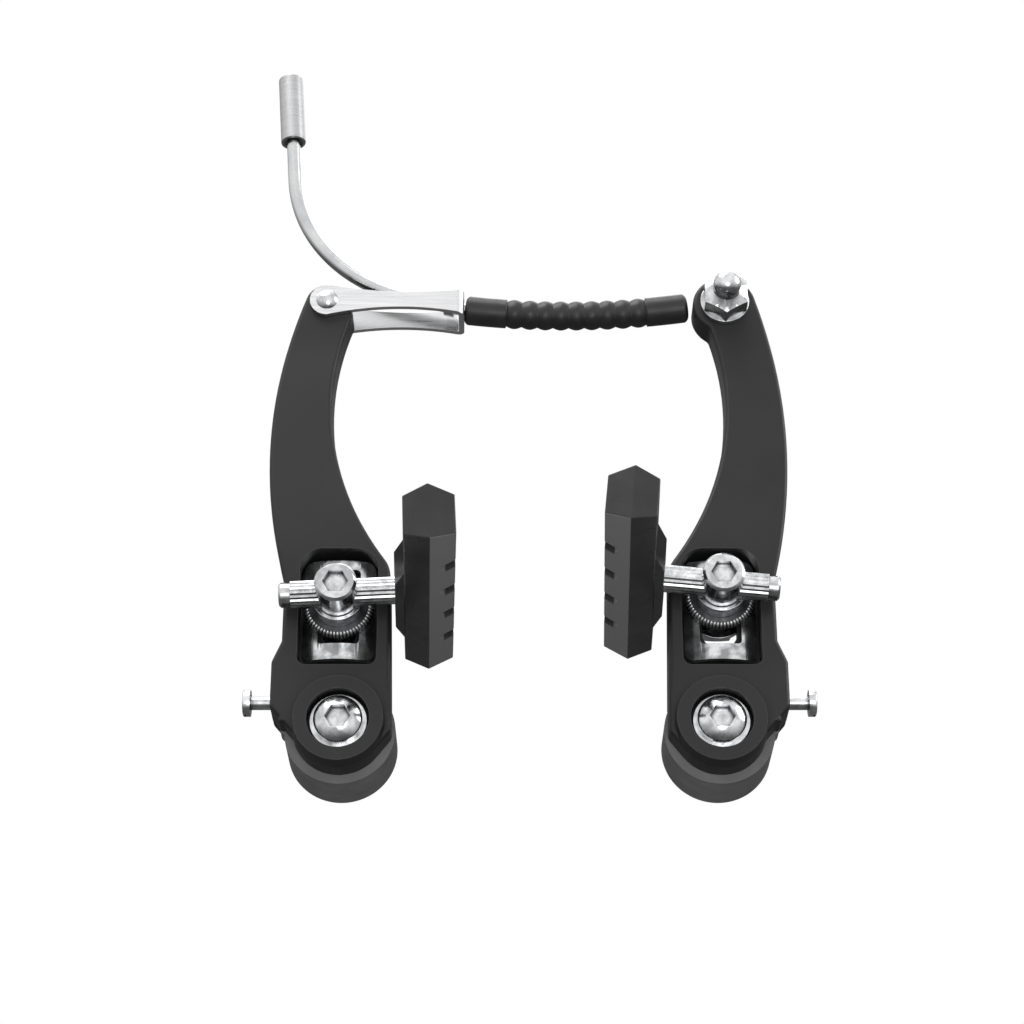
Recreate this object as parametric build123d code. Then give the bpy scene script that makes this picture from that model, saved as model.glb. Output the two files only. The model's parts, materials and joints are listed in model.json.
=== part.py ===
from build123d import *
import os
from math import acos, atan2, cos, degrees, dist, pi, radians, sin, tan

# Linear-pull rim brake, in millimetres. The origin lies midway between the two frame bosses, on the plane
# that they seat on. X runs across the wheel, Z up along the arms, and the front of the brake faces -Y.
# One side is modelled with its pivot at the origin and the wheel on its +X side, and is placed twice.
# A front distance is measured forwards from the seat plane, so a front distance d lies at y = -d.

# Frame bosses and pivot bush
pivot_spacing = 84.0
stud_radius = 4.0
stud_clearance = 0.05
bush_wall = 1.45
running_clearance = 0.05
end_play = 0.3

# Pivot bolt and its washer
thread_radius = 3.0
thread_clearance = 0.1
washer_radius = 6.4
washer_thickness = 1.4
bolt_head_radius = 5.4
bolt_head_height = 3.9
bolt_dome = 2.3
bolt_socket = 5.0
bolt_socket_depth = 2.4
bolt_length = 16.8
bolt_shoulder_length = 1.5
bolt_shoulder_step = 0.2

# Spring housing and spring
seat_gap = 0.1
housing_radius = 12.3
housing_length = 13.1
housing_wall = 1.6
housing_hub_wall = 1.2
housing_edge_round = 0.8
spring_wire_radius = 1.0
spring_turns = 3.25
spring_pitch = 2.3
spring_start = 2.2
spring_pin_length = 4.0
spring_pin_angle = 60.0
spring_leg_clearance = 0.2
ear_width = 4.2
ear_above_screw = 2.2
ear_below_screw = 8.4
ear_gap = 0.25
ear_round = 1.5

# Brake arm, front outline
boss_radius = 10.3
body_inner = 10.6
inner_shoulder_drop = 4.2
body_foot = 11.5
body_foot_drop = 2.0
body_outer = 13.2
outer_shoulder_drop = 8.0
inner_waist = 3.95
waist_share = 0.757
shoulder_round = 7.0
lug_reach = 15.3
lug_wall = 1.8
lug_top = 19.5
lug_shoulder = 14.5
lug_bottom = 3.8
lug_foot_reach = 9.0
lug_foot_drop = 3.6
lug_back = 7.4
lug_round = 2.0

# Brake arm, thickness
pivot_plate = 5.8
ring_height = 2.6
ring_radius = 9.9
recess_radius = 6.9
recess_depth = 4.0
arm_back = 9.0
head_back = 8.0
head_thickness = 8.2
taper_start = 44.0
left_head_flat = 11.5
right_head_flat = 11.2
taper_blend = 120.0
arm_edge_round = 1.0
housing_space = 0.4

# Pocket and slot in the arm, and the crowned plate in the pocket
slot_offset = 0.9
pocket_width = 17.7
pocket_depth = 6.8
pocket_top_round = 5.0
pocket_bottom_round = 2.0
slot_width = 8.0
slot_round = 3.9
plate_width = 16.2
plate_bottom = 16.4
plate_height = 24.2
plate_bottom_gap = 2.8
plate_top_gap = 1.5
plate_thickness = 1.4
plate_crown = 2.0
plate_round = 2.0
plate_bottom_rim = 3.8
plate_top_rim = 2.2
plate_slot_width = 9.4
plate_slot_round = 1.0

# Eyebolt and what it clamps, set a little lower on the left arm than on the right one
left_pad_height = 28.9
right_pad_height = 31.2
toe_gap = 0.15
toe_washer_radius = 7.9
toe_washer_thickness = 1.9
toe_washer_bevel = 0.9
knurl_teeth = 60
knurl_depth = 0.35
saddle_radius = 5.7
saddle_height = 3.7
saddle_notch = 1.05
eye_radius = 4.7
eye_nose = 6.6
eye_tail = 5.4
eye_chamfer = 0.6
eye_socket = 5.0
eye_socket_depth = 1.5
rear_washer_radius = 7.0
rear_washer_thickness = 1.4
rear_gap = 0.05
nut_flats = 10.0
nut_height = 5.0
nut_chamfer = 0.5
bolt_overhang = 1.2

# Pad post, measured from the eyebolt axis
post_radius = 3.1
post_clearance = 0.1
post_ribs = 20
post_rib_depth = 0.22
post_tip_length = 2.6
post_tip_radius = 2.8
post_tip_chamfer = 0.5
left_post_tilt = 2.8
right_post_tilt = 5.6
post_outboard = 12.9
post_embed = 3.0

# Brake pad, measured inwards from the eyebolt axis and along the wheel from the post
pad_back = 14.9
pad_ridge = 20.3
pad_face = 26.0
pad_side_height = 9.2
pad_ridge_height = 12.9
pad_front_length = 39.4
pad_rear_length = 30.6
pad_toe_in = 1.8
left_pad_pitch = 0.0
right_pad_pitch = 1.6
pad_point = 2.0
pad_boss_reach = 2.0
pad_boss_base = 35.0
pad_boss_top = 22.6
pad_boss_height = 8.2
pad_edge_round = 0.4
groove_count = 4
groove_pitch = 12.2
groove_depth = 2.8
groove_width = 3.0
groove_slant = 24.0

# Tension screw
screw_height = 7.5
screw_front = 11.0
screw_radius = 1.5
screw_head_radius = 3.0
screw_head_height = 1.7
screw_exposed = 4.9
screw_edge = 0.4
screw_slot_width = 0.9
screw_slot_depth = 0.8
screw_tip_gap = 0.1

# Cable end of the left arm
rivet_offset = 6.0
rivet_height = 108.5
rivet_radius = 2.0
rivet_dome_radius = 2.6
rivet_dome_height = 1.3
head_round = 5.3
tongue_reach = 6.2
tongue_drop = 3.2
left_blade_lean = 19.0

# Noodle holder, folded from one strip
sheet = 1.25
cheek_gap = 0.15
cheek_round = 4.1
cheek_top_waist = 2.15
cheek_bottom_waist = 2.0
cheek_top_end = 2.8
cheek_bottom_end = 3.6
holder_length = 32.6
holder_bend_round = 1.8

# Noodle
tube_radius = 1.65
tube_bore = 1.3
liner_bore = 0.9
tip_rise = 0.4
tip_slope = 14.0
tip_nose = 3.4
tip_run = 14.5
tip_clearance = 0.08
collar_radius = 2.4
collar_length = 2.4
collar_setback = 0.9
bend_radius = 37.0
ferrule_lean = 4.1
ferrule_run = 30.3
ferrule_radius = 3.05
ferrule_length = 18.9
ferrule_mouth = 2.55
ferrule_mouth_depth = 10.0
ferrule_skirt = 2.3
ferrule_skirt_depth = 1.2

# Cable boot
boot_gap = 0.75
boot_end_gap = 1.2
boot_end_lift = 1.2
boot_sag = 1.9
boot_radius = 3.45
boot_core_radius = 3.1
boot_bore = 2.35
boot_grip_bore = 1.4
boot_grip = 4.5
boot_sleeve = 10.0
boot_ribs = 9
boot_rib_pitch = 3.65
boot_rib_round = 0.85
boot_rib_height = 0.5

# Cable anchor on the right arm
anchor_offset = 4.8
anchor_height = 108.2
anchor_boss = 7.5
anchor_neck_angle = 60.0
right_blade_lean = 16.3
anchor_washer_radius = 5.8
anchor_washer_thickness = 1.3
acorn_flats = 10.0
acorn_hex_height = 4.6
acorn_cone_height = 1.3
acorn_dome_radius = 3.3
acorn_height = 10.6
anchor_head_radius = 4.6
anchor_head_height = 4.0
anchor_socket = 4.0
anchor_socket_depth = 2.2

# Places worked out from the sizes above
half_spacing = pivot_spacing / 2
bush_bore = stud_radius + stud_clearance
bush_radius = bush_bore + bush_wall
housing_front = seat_gap + housing_length
arm_front = housing_front + pivot_plate
ring_front = arm_front + ring_height
recess_floor = ring_front - recess_depth
bush_front = recess_floor + end_play
washer_front = bush_front + washer_thickness
bolt_shoulder = thread_radius + bolt_shoulder_step
head_front = head_back + head_thickness
head_middle = head_back + head_thickness / 2
pocket_floor = arm_front - pocket_depth
plate_top = plate_bottom + plate_height
pocket_bottom = plate_bottom - plate_bottom_gap
pocket_top = plate_top + plate_top_gap
slot_bottom = plate_bottom + plate_bottom_rim
slot_top = plate_top - plate_top_rim
body_inner_top = pocket_top - inner_shoulder_drop
body_outer_top = pocket_top - outer_shoulder_drop
plate_bow = plate_width ** 2 / (8 * plate_crown) + plate_crown / 2
plate_axis = pocket_floor + plate_crown - plate_bow
plate_crest = pocket_floor + plate_crown + plate_thickness
toe_back = plate_crest + toe_gap
toe_front = toe_back + toe_washer_thickness
saddle_front = toe_front + saddle_height
post_front = saddle_front - saddle_notch + post_radius
rear_washer_front = arm_back - rear_gap
rear_washer_back = rear_washer_front - rear_washer_thickness
nut_back = rear_washer_back - nut_height
housing_hub_bore = bush_radius + running_clearance
housing_hub = housing_hub_bore + housing_hub_wall
housing_shell = housing_radius - housing_wall
spring_radius = (housing_hub + housing_shell) / 2
ear_reach = lug_reach - lug_wall - ear_gap
ear_top = screw_height + ear_above_screw
ear_bottom = screw_height - ear_below_screw
holder_end = holder_length - rivet_offset
boot_end = pivot_spacing + anchor_offset - anchor_boss - boot_end_gap
left_setting = (left_pad_height, left_post_tilt, left_pad_pitch)
right_setting = (right_pad_height, right_post_tilt, right_pad_pitch)
tip_height = rivet_height + tip_rise
cheek_back = head_back - cheek_gap
cheek_front = head_front + cheek_gap


# Shared shapes


def slab(outline, back, front):
    """A front-view outline with its thickness between two front distances."""
    return extrude(Plane.XZ.offset(back) * outline, front - back)


def disc(radius, x=0.0, z=0.0):
    return Pos(x, z) * Circle(radius)


def rod(radius, back, front, x=0.0, z=0.0):
    """A round bar along Y."""
    return slab(disc(radius, x, z), back, front)


def tube(radius, bore, back, front):
    return slab(disc(radius) - disc(bore), back, front)


def turned(points):
    """A solid of revolution along Y, from (radius, front distance) points."""
    profile = make_face(Polyline([(r, -d) for r, d in points], close=True))
    return revolve(profile, Axis.Y)


def bar(radius, length):
    """A round bar that stands on the origin, along Z."""
    return Cylinder(radius, length, align=(Align.CENTER, Align.CENTER, Align.MIN))


def hexagon(flats, turn=0.0):
    return RegularPolygon(flats / 2, 6, major_radius=False, rotation=turn)


def on_circle(centre, radius, angle):
    """The point of a circle at an angle in degrees."""
    return centre[0] + radius * cos(radians(angle)), centre[1] + radius * sin(radians(angle))


def touch_angle(centre, radius, point, side):
    """The angle on a circle where the tangent from an outside point touches it, on the side +1 or -1."""
    towards = atan2(point[1] - centre[1], point[0] - centre[0])
    return degrees(towards + side * acos(radius / dist(centre, point)))


def rounded(outline, radius):
    """The outline with every sharp corner rounded, so that its edges run smoothly into each other."""
    for point in [(v.X, v.Y) for v in outline.vertices()]:
        sharp = corner(outline, *point)
        place = sharp.center()
        sides = [e for e in outline.edges() if min((e @ t - place).length for t in (0, 1)) < 1e-4]
        slopes = [e.tangent_at(0 if (e @ 0 - place).length < 1e-4 else 1) for e in sides]
        if len(slopes) == 2 and slopes[0].cross(slopes[1]).length > 0.02:
            outline = fillet(sharp, min(radius, min(e.length for e in sides) * 0.4))
    return outline


def toothed(radius, teeth, depth):
    """A round outline with fine triangular teeth."""
    step = pi / teeth
    radii = [radius - depth * (i % 2) for i in range(2 * teeth)]
    points = [(r * cos(i * step), r * sin(i * step)) for i, r in enumerate(radii)]
    return make_face(Polyline(points, close=True))


def corner(outline, x, z):
    return outline.vertices().sort_by(lambda v: (v.X - x) ** 2 + (v.Y - z) ** 2)[0]


def edges_at(solid, front):
    """The edges that lie wholly at one front distance."""
    return solid.edges().filter_by(lambda e: all(abs((e @ t).Y + front) < 1e-4 for t in (0, 0.3, 0.7, 1)))


# Pivot stack


def pivot_bush():
    return tube(bush_radius, bush_bore, 0, bush_front)


def bolt_washer():
    return tube(washer_radius, bolt_shoulder + thread_clearance, bush_front, washer_front)


def pivot_bolt():
    """A domed socket bolt: a shoulder in its washer, then the thread that enters the frame boss."""
    crown = washer_front + bolt_head_height
    dome = (bolt_head_radius ** 2 + bolt_dome ** 2) / (2 * bolt_dome)
    head = rod(bolt_head_radius, washer_front, crown + bolt_dome) & (Pos(0, dome - crown, 0) * Sphere(dome))
    head -= slab(hexagon(bolt_socket), crown - bolt_socket_depth, crown)
    shoulder = rod(bolt_shoulder, washer_front - bolt_shoulder_length, washer_front)
    thread = rod(thread_radius, washer_front - bolt_length, washer_front - bolt_shoulder_length)
    return head + shoulder + thread


def spring_leg_place():
    """The angle and front distance where the spring's front leg leaves its coil."""
    return spring_pin_angle + 360 * spring_turns, spring_start + spring_turns * spring_pitch


def spring_leg(radius, start, end):
    """A radial bar at the spring's front leg."""
    angle, front = spring_leg_place()
    return Rot(90, 0, 0) * Rot(0, 0, angle) * Pos(start, 0, front) * Rot(0, 90, 0) * bar(radius, end - start)


def spring_housing():
    """A plastic cup, open towards the frame, with a hub on the bush and an ear for the tension screw."""
    floor = housing_front - housing_wall
    cup = turned([
        (housing_hub_bore, seat_gap), (housing_hub_bore, housing_front), (housing_radius, housing_front),
        (housing_radius, seat_gap), (housing_shell, seat_gap), (housing_shell, floor),
        (housing_hub, floor), (housing_hub, seat_gap),
    ])
    outer_rim = edges_at(cup, seat_gap).sort_by(SortBy.LENGTH)[-1]
    cup = fillet(outer_rim, min(housing_edge_round, housing_wall * 0.7))
    outline = Pos(-ear_reach, ear_bottom) * Rectangle(ear_reach, ear_top - ear_bottom, align=Align.MIN)
    outline = fillet([corner(outline, -ear_reach, height) for height in (ear_bottom, ear_top)], ear_round)
    ear = slab(outline - disc(housing_shell), screw_front - ear_width / 2, screw_front + ear_width / 2)
    leg_hole = spring_leg(spring_wire_radius + spring_leg_clearance, spring_radius, housing_radius)
    return cup + ear - leg_hole


def return_spring():
    """A coil round the housing's hub, with a leg in the housing and a pin for the frame's spring hole."""
    coil = Helix(spring_pitch, spring_pitch * spring_turns, spring_radius)
    wire = sweep(Plane(coil @ 0, z_dir=coil % 0) * Circle(spring_wire_radius), path=coil, is_frenet=True)
    pin_length = spring_start + spring_pin_length
    pin = Cylinder(spring_wire_radius, pin_length, align=(Align.CENTER, Align.CENTER, Align.MAX))
    wire += Pos(coil @ 0) * (Sphere(spring_wire_radius) + pin)
    wire += Pos(coil @ 1) * Sphere(spring_wire_radius)
    spring = Rot(90, 0, 0) * Rot(0, 0, spring_pin_angle) * Pos(0, 0, spring_start) * wire
    return spring + spring_leg(spring_wire_radius, spring_radius, housing_shell + housing_wall / 2)


# Brake arms


def blade_outline(centre, radius, lean, inner_end, head_start):
    """The blade and its round head: a hollow inner edge, and an outer edge that runs smoothly into the head."""
    inner_foot = (body_inner, body_inner_top)
    outer_foot = (-body_outer, body_outer_top)
    outer_end = on_circle(centre, radius, 180 - lean)
    onward = (-sin(radians(lean)), -cos(radians(lean)))
    edges = [
        ThreePointArc(inner_foot, (-inner_waist, waist_share * centre[1]), inner_end),
        ThreePointArc(head_start, on_circle(centre, radius, 90), outer_end),
        TangentArc(outer_end, outer_foot, tangent=onward),
        Line(outer_foot, inner_foot),
    ]
    if inner_end != head_start:
        edges.insert(1, Line(inner_end, head_start))
    return make_face(edges)


def arm_outline(blade):
    """The arm from the front: the blade with its head, a body, the pivot boss and the screw lug."""
    foot = (body_foot, -body_foot_drop)
    body = Polygon(
        (0, 0), on_circle((0, 0), boss_radius, touch_angle((0, 0), boss_radius, foot, -1)), foot,
        (body_inner, body_inner_top), (-body_outer, body_outer_top), (-body_outer, 0), align=None,
    )
    lug = Polygon(
        (0, lug_top), (-body_outer, lug_top), (-lug_reach, lug_shoulder), (-lug_reach, lug_bottom),
        (-lug_foot_reach, -lug_foot_drop), (0, 0), align=None,
    )
    outline = blade + body + lug + disc(boss_radius)
    outline = fillet(corner(outline, body_inner, body_inner_top), shoulder_round)
    outline = fillet(corner(outline, -body_outer, body_outer_top), shoulder_round)
    return rounded(outline, lug_round)


def arm_side_profile(taper_end):
    """The arm from the side: thick at the pivot and thinner towards the head."""
    far = 2 * taper_end
    profile = Polygon(
        (-arm_front, -far), (-arm_front, taper_start), (-head_front, taper_end), (-head_front, far),
        (-head_back, far), (-head_back, taper_end), (-arm_back, taper_start), (-arm_back, -far), align=None,
    )
    bends = profile.vertices().filter_by(lambda v: abs(v.Y) < far - 1)
    return fillet(bends, taper_blend)


def pocket_outline():
    height = pocket_top - pocket_bottom
    outline = Pos(-slot_offset, pocket_bottom + height / 2) * Rectangle(pocket_width, height)
    corners = outline.vertices().sort_by(Axis.Y)
    outline = fillet(corners[2:], pocket_top_round)
    return fillet(outline.vertices().sort_by(Axis.Y)[:2], pocket_bottom_round)


def slot_outline(width, end_round):
    middle = (slot_bottom + slot_top) / 2
    return Pos(-slot_offset, middle) * RectangleRounded(width, slot_top - slot_bottom, end_round)


def arm_lug():
    """The back of the screw lug, which reaches beside the spring housing."""
    outline = Polygon(
        (-lug_foot_reach, lug_shoulder), (-lug_reach, lug_shoulder), (-lug_reach, lug_bottom),
        (-lug_foot_reach, -lug_foot_drop), align=None,
    )
    outline = fillet(corner(outline, -lug_reach, lug_bottom), lug_round)
    return slab(fillet(corner(outline, -lug_reach, lug_shoulder), lug_round), lug_back, arm_back)


def arm(blade, head, head_hole, head_flat):
    blank = slab(arm_outline(blade), 0, arm_front)
    blank &= extrude(Plane.YZ * arm_side_profile(head[1] - head_flat), 4 * lug_reach, both=True)
    rims = blank.edges().filter_by(Axis.Y, reverse=True).filter_by(Axis.X, reverse=True)
    blank = fillet(rims, arm_edge_round)
    blank += arm_lug()
    blank += turned([
        (0, recess_floor), (boss_radius, arm_front - arm_edge_round), (ring_radius, ring_front),
        (0, ring_front),
    ])
    blank -= rod(housing_radius + housing_space, 0, housing_front)
    blank -= rod(bush_radius + running_clearance, housing_front, recess_floor)
    blank -= rod(recess_radius, recess_floor, ring_front)
    ear_space = Pos(-ear_reach - ear_gap, ear_top + ear_gap) * Rectangle(
        ear_reach + ear_gap, 2 * ear_below_screw, align=(Align.MIN, Align.MAX)
    )
    blank -= slab(ear_space, screw_front - ear_width / 2 - ear_gap, housing_front)
    screw_hole = bar(screw_radius + running_clearance, 2 * lug_reach)
    blank -= Pos(0, -screw_front, screw_height) * Rot(0, -90, 0) * screw_hole
    blank -= slab(pocket_outline(), pocket_floor, ring_front)
    blank -= slab(slot_outline(slot_width, slot_round), 0, pocket_floor)
    return blank - rod(head_hole, 0, ring_front, *head)


def left_arm():
    """The noodle side: a tongue that the holder is riveted round."""
    head = (-rivet_offset, rivet_height)
    inner_end = (tongue_reach - rivet_offset, rivet_height - tongue_drop)
    head_start = on_circle(head, head_round, touch_angle(head, head_round, inner_end, 1))
    blade = blade_outline(head, head_round, left_blade_lean, inner_end, head_start)
    return arm(blade, head, rivet_radius + running_clearance, left_head_flat)


def right_arm():
    """The anchor side: a round boss that the cable is clamped on."""
    head = (-anchor_offset, anchor_height)
    neck = on_circle(head, anchor_boss, -anchor_neck_angle)
    blade = blade_outline(head, anchor_boss, right_blade_lean, neck, neck)
    return arm(blade, head, thread_radius + thread_clearance, right_head_flat)


def slot_plate():
    """A pressed plate, crowned across its width, that the toe-in washer rocks on."""
    outline = Pos(-slot_offset, plate_bottom + plate_height / 2) * RectangleRounded(
        plate_width, plate_height, plate_round
    )
    blank = slab(outline - slot_outline(plate_slot_width, plate_slot_round), 0, arm_front)
    outer = Cylinder(plate_bow + plate_thickness, 4 * plate_height)
    inner = Cylinder(plate_bow, 4 * plate_height)
    sheet_curve = Pos(-slot_offset, -plate_axis, 0) * (outer - inner)
    front_half = slab(Rectangle(4 * plate_width, 4 * plate_height), plate_axis, arm_front)
    return blank & sheet_curve & front_half


def tension_screw():
    """A pan-head screw along X, with its tip against the housing's ear."""
    head_back_x = lug_reach + screw_exposed
    tip = ear_reach + screw_tip_gap
    shank = Pos(0, 0, tip) * bar(screw_radius, head_back_x - tip)
    head = bar(screw_head_radius, screw_head_height)
    head = fillet(head.edges().sort_by(Axis.Z)[-1], min(screw_edge, screw_head_height / 2))
    slot = Pos(0, 0, screw_head_height) * Box(3 * screw_head_radius, screw_slot_width, 2 * screw_slot_depth)
    screw = shank + Pos(0, 0, head_back_x) * (head - slot)
    return Pos(0, -screw_front, screw_height) * Rot(0, -90, 0) * screw


# Eyebolt and what it clamps. A setting is the pad's height on the arm, the tilt of its post and its pitch.


def bolt_place(setting):
    """The eyebolt's axis on the seat plane."""
    return Pos(-slot_offset, 0, setting[0])


def post_place(setting):
    """The pad post's middle, with X along the post towards the wheel."""
    return bolt_place(setting) * Pos(0, -post_front, 0) * Rot(0, -setting[1], 0)


def post_hole(setting, length):
    return post_place(setting) * Rot(0, 90, 0) * Cylinder(post_radius + post_clearance, length)


def eyebolt(setting):
    """A socket-headed bolt with a cross hole for the pad post."""
    nose = post_front + eye_nose
    tail = post_front - eye_tail
    body = rod(eye_radius, tail, nose)
    body = chamfer(edges_at(body, nose), eye_chamfer)
    body -= slab(hexagon(eye_socket), nose - eye_socket_depth, nose)
    body += rod(thread_radius, nut_back - bolt_overhang, tail)
    return bolt_place(setting) * body - post_hole(setting, 4 * eye_radius)


def post_saddle(setting):
    """A collar round the eyebolt, notched to press on the post."""
    collar = tube(saddle_radius, eye_radius + running_clearance, toe_front, saddle_front)
    return bolt_place(setting) * collar - post_hole(setting, 4 * saddle_radius)


def toe_in_washer(setting):
    """A washer with a knurled bevel, hollowed behind to rock on the crowned plate."""
    outline = toothed(toe_washer_radius, knurl_teeth, knurl_depth) - disc(thread_radius + thread_clearance)
    washer = slab(outline, pocket_floor, toe_front)
    washer &= turned([
        (0, pocket_floor), (toe_washer_radius, pocket_floor),
        (toe_washer_radius, toe_front - toe_washer_bevel), (toe_washer_radius - toe_washer_bevel, toe_front),
        (0, toe_front),
    ])
    washer -= Pos(0, -plate_axis, 0) * Cylinder(plate_bow + plate_thickness + toe_gap, 4 * toe_washer_radius)
    return bolt_place(setting) * washer


def rear_washer(setting):
    washer = tube(rear_washer_radius, thread_radius + thread_clearance, rear_washer_back, rear_washer_front)
    return bolt_place(setting) * washer


def eyebolt_nut(setting):
    nut = slab(hexagon(nut_flats) - disc(thread_radius), nut_back, rear_washer_back)
    nut &= turned([
        (0, nut_back), (nut_flats / 2, nut_back), (nut_flats / 2 + 2 * nut_chamfer, nut_back + nut_chamfer),
        (nut_flats / 2 + 2 * nut_chamfer, rear_washer_back), (0, rear_washer_back),
    ])
    return bolt_place(setting) * nut


def pad_post(setting):
    """A ribbed post with a plain turned end, moulded into the pad."""
    inner_end = pad_back - pad_boss_reach + post_embed
    ribbed_length = inner_end + post_outboard - post_tip_length
    ribbed = extrude(toothed(post_radius, post_ribs, post_rib_depth), ribbed_length)
    tip = Cylinder(post_tip_radius, post_tip_length, align=(Align.CENTER, Align.CENTER, Align.MAX))
    tip = chamfer(tip.edges().sort_by(Axis.Z)[0], post_tip_chamfer)
    return post_place(setting) * Rot(0, 90, 0) * Pos(0, 0, post_tip_length - post_outboard) * (ribbed + tip)


def pad_section():
    """The pad seen along the wheel: a hexagon with a ridge above and below."""
    side = pad_side_height / 2
    ridge = pad_ridge_height / 2
    return Polygon(
        (pad_back, -side), (pad_ridge, -ridge), (pad_face, -side), (pad_face, side), (pad_ridge, ridge),
        (pad_back, side), align=None,
    )


def pad_plan():
    """The pad seen from below, with its ends drawn out to a point."""
    front = pad_front_length
    rear = pad_rear_length
    return Polygon(
        (pad_back, pad_point - front), (pad_ridge, -front), (pad_face, pad_point - front),
        (pad_face, rear - pad_point), (pad_ridge, rear), (pad_back, rear - pad_point), align=None,
    )


def brake_pad(setting):
    """A grooved block on a raised boss, turned on its post so that its front end meets the rim first."""
    tall = 2 * pad_ridge_height
    block = extrude(Plane.XZ * pad_section(), pad_front_length + pad_rear_length, both=True)
    block &= extrude(pad_plan(), tall, both=True)
    block = fillet(block.edges(), pad_edge_round)
    boss_face = pad_back - pad_boss_reach
    half_base = pad_boss_base / 2
    half_top = pad_boss_top / 2
    boss_plan = Polygon(
        (pad_ridge, -half_base), (pad_back, -half_base), (boss_face, -half_top),
        (boss_face, half_top), (pad_back, half_base), (pad_ridge, half_base), align=None,
    )
    pad = block + extrude(boss_plan, pad_boss_height / 2, both=True)
    middle = (pad_rear_length - pad_front_length) / 2
    cut_length = 2 * groove_depth / cos(radians(groove_slant))
    cutter = Rot(0, 0, -groove_slant) * Box(cut_length, groove_width, tall)
    for i in range(groove_count):
        along = middle + (i - (groove_count - 1) / 2) * groove_pitch
        pad -= Pos(pad_face, along, 0) * cutter
    pad = Rot(0, 0, pad_toe_in) * Pos(-pad_ridge, 0, 0) * pad
    pad = Rot(-setting[2], 0, 0) * Pos(pad_ridge, 0, 0) * pad
    return post_place(setting) * pad - pad_post(setting)


# Noodle side


def holder_rivet():
    back = cheek_back - sheet
    front = cheek_front + sheet
    dome = (rivet_dome_radius ** 2 + rivet_dome_height ** 2) / (2 * rivet_dome_height)
    shank = rod(rivet_radius, back, front)
    front_dome = Pos(0, dome - front - rivet_dome_height, 0) * Sphere(dome)
    back_dome = Pos(0, rivet_dome_height - back - dome, 0) * Sphere(dome)
    shank += front_dome & rod(rivet_dome_radius, front, front + rivet_dome_height)
    shank += back_dome & rod(rivet_dome_radius, back - rivet_dome_height, back)
    return Pos(-rivet_offset, 0, rivet_height) * shank


def noodle_plane():
    return Plane.XZ.offset(head_middle)


def tip_point(along):
    """A point on the noodle's straight tip, measured forwards from the holder's outer face."""
    slope = radians(tip_slope)
    return holder_end + along * cos(slope), tip_height - along * sin(slope)


def noodle_path(start, end):
    """The noodle's centre line, from a distance below its open end to a distance past the holder's face."""
    turn = radians(90 - ferrule_lean - tip_slope)
    tangent = bend_radius * tan(turn / 2)
    bend_x, bend_z = tip_point(-tip_run - tangent)
    lean = radians(ferrule_lean)
    rise = tangent + ferrule_run - start
    top = (bend_x - rise * sin(lean), bend_z + rise * cos(lean))
    return FilletPolyline(top, (bend_x, bend_z), tip_point(end), radius=bend_radius)


def along_noodle(outline, start, end):
    path = noodle_plane() * noodle_path(start, end)
    return sweep(Plane(path @ 0, z_dir=path % 0) * outline, path=path)


def along_tip(radius, start, end):
    """A round bar on the tip's axis."""
    x, z = tip_point(start)
    return Pos(x, -head_middle, z) * Rot(0, 90 + tip_slope, 0) * bar(radius, end - start)


def noodle_holder():
    """A strip folded round the noodle's tip, with its two cheeks riveted to the arm."""
    middle = holder_length / 2
    outline = make_face(
        ThreePointArc((0, cheek_round), (middle, cheek_top_waist), (holder_length, cheek_top_end))
        + Line((holder_length, cheek_top_end), (holder_length, -cheek_bottom_end))
        + ThreePointArc((holder_length, -cheek_bottom_end), (middle, -cheek_bottom_waist), (0, -cheek_round))
        + ThreePointArc((0, -cheek_round), (-cheek_round, 0), (0, cheek_round))
    )
    strip = slab(outline, cheek_back - sheet, cheek_front + sheet)
    bends = strip.edges().filter_by(Axis.Z).sort_by(Axis.X)[-2:]
    strip = fillet(bends, holder_bend_round)
    hollow = Rectangle(2 * holder_length, 4 * cheek_round, align=(Align.MAX, Align.CENTER))
    inside = slab(Pos(holder_length - sheet, 0) * hollow, cheek_back, cheek_front)
    inner_round = max(holder_bend_round - sheet, 0.2)
    inside = fillet(inside.edges().filter_by(Axis.Z).sort_by(Axis.X)[-2:], inner_round)
    strip -= inside
    strip -= rod(rivet_radius, 0, 2 * head_front)
    tip_hole = along_tip(tube_radius + tip_clearance, -4 * sheet, 4 * sheet)
    return Pos(-rivet_offset, 0, rivet_height) * strip - tip_hole


def noodle_tube():
    """A bent tube with a collar that stops it at the holder's end wall."""
    bent = along_noodle(Circle(tube_radius) - Circle(tube_bore), ferrule_mouth_depth, tip_nose)
    collar_front = -sheet - collar_setback
    collar = along_tip(collar_radius, collar_front - collar_length, collar_front)
    return bent + (collar - along_tip(tube_bore, -tip_run, 0))


def noodle_liner():
    return along_noodle(Circle(tube_bore) - Circle(liner_bore), ferrule_mouth_depth, tip_nose)


def noodle_ferrule():
    """A socket for the cable housing, crimped on the noodle's open end."""
    path = noodle_plane() * noodle_path(0, tip_nose)
    skirt = ferrule_length - ferrule_skirt_depth
    profile = Polygon(
        (ferrule_mouth, 0), (ferrule_radius, 0), (ferrule_radius, ferrule_length),
        (ferrule_skirt, ferrule_length), (ferrule_skirt, skirt), (tube_radius, skirt),
        (tube_radius, ferrule_mouth_depth), (ferrule_mouth, ferrule_mouth_depth), align=None,
    )
    body = revolve(Plane.XZ * profile, Axis.Z)
    return Plane(path @ 0, x_dir=(0, 1, 0), z_dir=path % 0) * body


def boot_path():
    """The boot's centre line, from the holder to the anchor boss of the other arm."""
    start = (holder_end + boot_gap, tip_height - boot_gap * tan(radians(tip_slope)))
    end = (boot_end, anchor_height + boot_end_lift)
    middle = ((start[0] + end[0]) / 2, (start[1] + end[1]) / 2 - boot_sag)
    return noodle_plane() * ThreePointArc(start, middle, end)


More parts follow.
